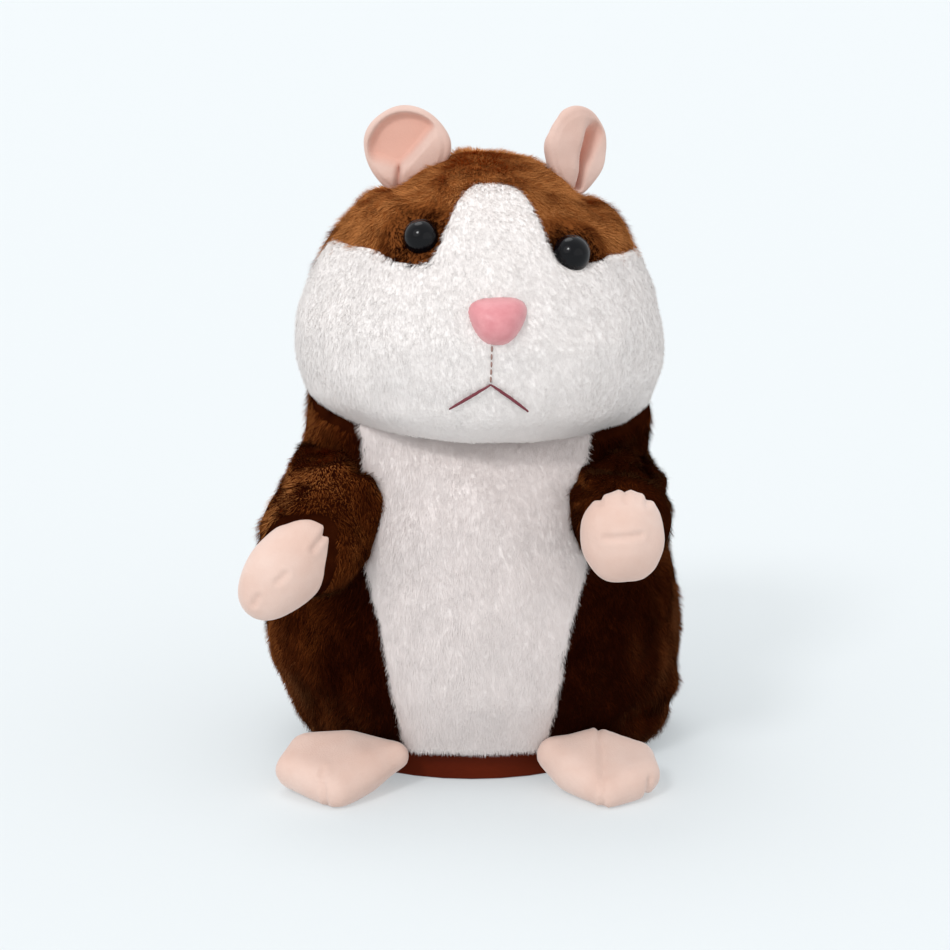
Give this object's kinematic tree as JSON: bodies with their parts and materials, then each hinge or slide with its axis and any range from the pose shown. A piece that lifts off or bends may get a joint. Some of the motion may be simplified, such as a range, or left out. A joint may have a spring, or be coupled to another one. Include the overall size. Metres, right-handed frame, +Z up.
{
  "type": "nodding plush toy",
  "caption": "Plush hamster with brown back, white face and belly and pink paws, sitting on a battery base that makes its head nod.",
  "frame": {"origin": "on the underside of the base, straight below the nod axis", "axes": "+Z up through the head, the face looks along -Y, the animal's own left is +X"},
  "size_m": [0.1059, 0.117, 0.1594],
  "materials": {
    "brown_pile": "short brown plush pile with a soft sheen",
    "white_pile": "short white plush pile",
    "pink_velour": "smooth pale pink velour",
    "nose_satin": "pink satin over a soft pad",
    "mouth_thread": "dark red stitching thread",
    "filling": "white fibre filling",
    "eye_black": "glossy black moulded dome",
    "base_brown": "satin red-brown moulding",
    "frame_white": "plain white moulding",
    "switch_black": "matt black moulding",
    "gear_white": "natural acetal",
    "steel": "bright steel",
    "brass": "turned brass",
    "cell_jacket": "plain green printed jacket",
    "board_green": "green solder mask",
    "wire_red": "soft red insulation",
    "washer_clear": "translucent white washer"
  },
  "bodies": {
    "base": {"base_tray": "base_brown", "battery_cell_1": "cell_jacket", "battery_cell_2": "cell_jacket", "battery_cell_3": "cell_jacket", "battery_spring_1": "steel", "battery_spring_2": "steel", "battery_spring_3": "steel", "contact_plate_left": "steel", "contact_plate_right": "steel", "housing_box": "frame_white", "housing_lid": "frame_white", "gear_plate": "frame_white", "crank_axle": "steel", "idler_axle": "steel", "motor": "steel", "circuit_board": "board_green", "speaker": "switch_black", "microphone": "steel", "switch_body": "switch_black", "base_screw_1": "steel", "base_screw_2": "steel", "base_screw_3": "steel", "neck_pin": "steel", "motor_wire": "wire_red", "speaker_wire": "wire_red", "body_skin": "brown_pile", "body_stuffing": "filling", "belly_panel": "white_pile", "foot_left": "pink_velour", "foot_right": "pink_velour", "tail": "brown_pile"},
    "head": {"head_frame": "frame_white", "head_skin": "brown_pile", "head_stuffing": "filling", "face_panel": "white_pile", "ear_left": "pink_velour", "ear_right": "pink_velour", "eye_left": "eye_black", "eye_right": "eye_black", "eye_washer_left": "washer_clear", "eye_washer_right": "washer_clear", "nose": "nose_satin", "mouth_stitch": "mouth_thread"},
    "arm_right": {"arm_right": "brown_pile", "paw_right": "pink_velour"},
    "arm_left": {"arm_left": "brown_pile", "paw_left": "pink_velour"},
    "crank": {"crank_gear": "gear_white"},
    "rod": {"connecting_rod": "steel"},
    "idler": {"idler_gear": "gear_white"},
    "pinion": {"motor_pinion": "brass"},
    "switch": {"power_switch": "switch_black"},
    "door": {"battery_door": "base_brown", "door_screw": "steel"}
  },
  "joints": [
    {"name": "head_nod", "type": "hinge", "parent": "base", "child": "head", "pos_m": [0, 0, 0.062], "axis": [1, 0, 0], "range_deg": [-6.5, 6.5]},
    {"name": "arm_right_swing", "type": "hinge", "parent": "base", "child": "arm_right", "pos_m": [-0.0385, -0.004, 0.075], "axis": [-1, 0, 0], "range_deg": [-10, 9]},
    {"name": "arm_left_swing", "type": "hinge", "parent": "base", "child": "arm_left", "pos_m": [0.0385, -0.004, 0.075], "axis": [-1, 0, 0], "range_deg": [-10, 9]},
    {"name": "crank_turn", "type": "hinge", "parent": "base", "child": "crank", "pos_m": [0.0083, 0.015, 0.042], "axis": [1, 0, 0], "continuous": true},
    {"name": "rod_turn", "type": "hinge", "parent": "crank", "child": "rod", "pos_m": [0.005, 0.015, 0.0444], "axis": [1, 0, 0], "continuous": true},
    {"name": "idler_turn", "type": "hinge", "parent": "base", "child": "idler", "pos_m": [0.0096, 0.02486, 0.03214], "axis": [1, 0, 0], "continuous": true},
    {"name": "pinion_turn", "type": "hinge", "parent": "base", "child": "pinion", "pos_m": [0.0115, 0.01139, 0.02852], "axis": [1, 0, 0], "continuous": true},
    {"name": "switch_slide", "type": "slide", "parent": "base", "child": "switch", "axis": [1, 0, 0], "range_m": [0, 0.003]},
    {"name": "door_swing", "type": "hinge", "parent": "base", "child": "door", "pos_m": [0.0237, 0.023, 0.00105], "axis": [0, -1, 0], "range_deg": [0, 80]}
  ],
  "couplings": [
    {"joint": "rod_turn", "follows": "crank_turn", "ratio": -1},
    {"joint": "idler_turn", "follows": "crank_turn", "ratio": -3.6},
    {"joint": "pinion_turn", "follows": "crank_turn", "ratio": 12.96}
  ]
}
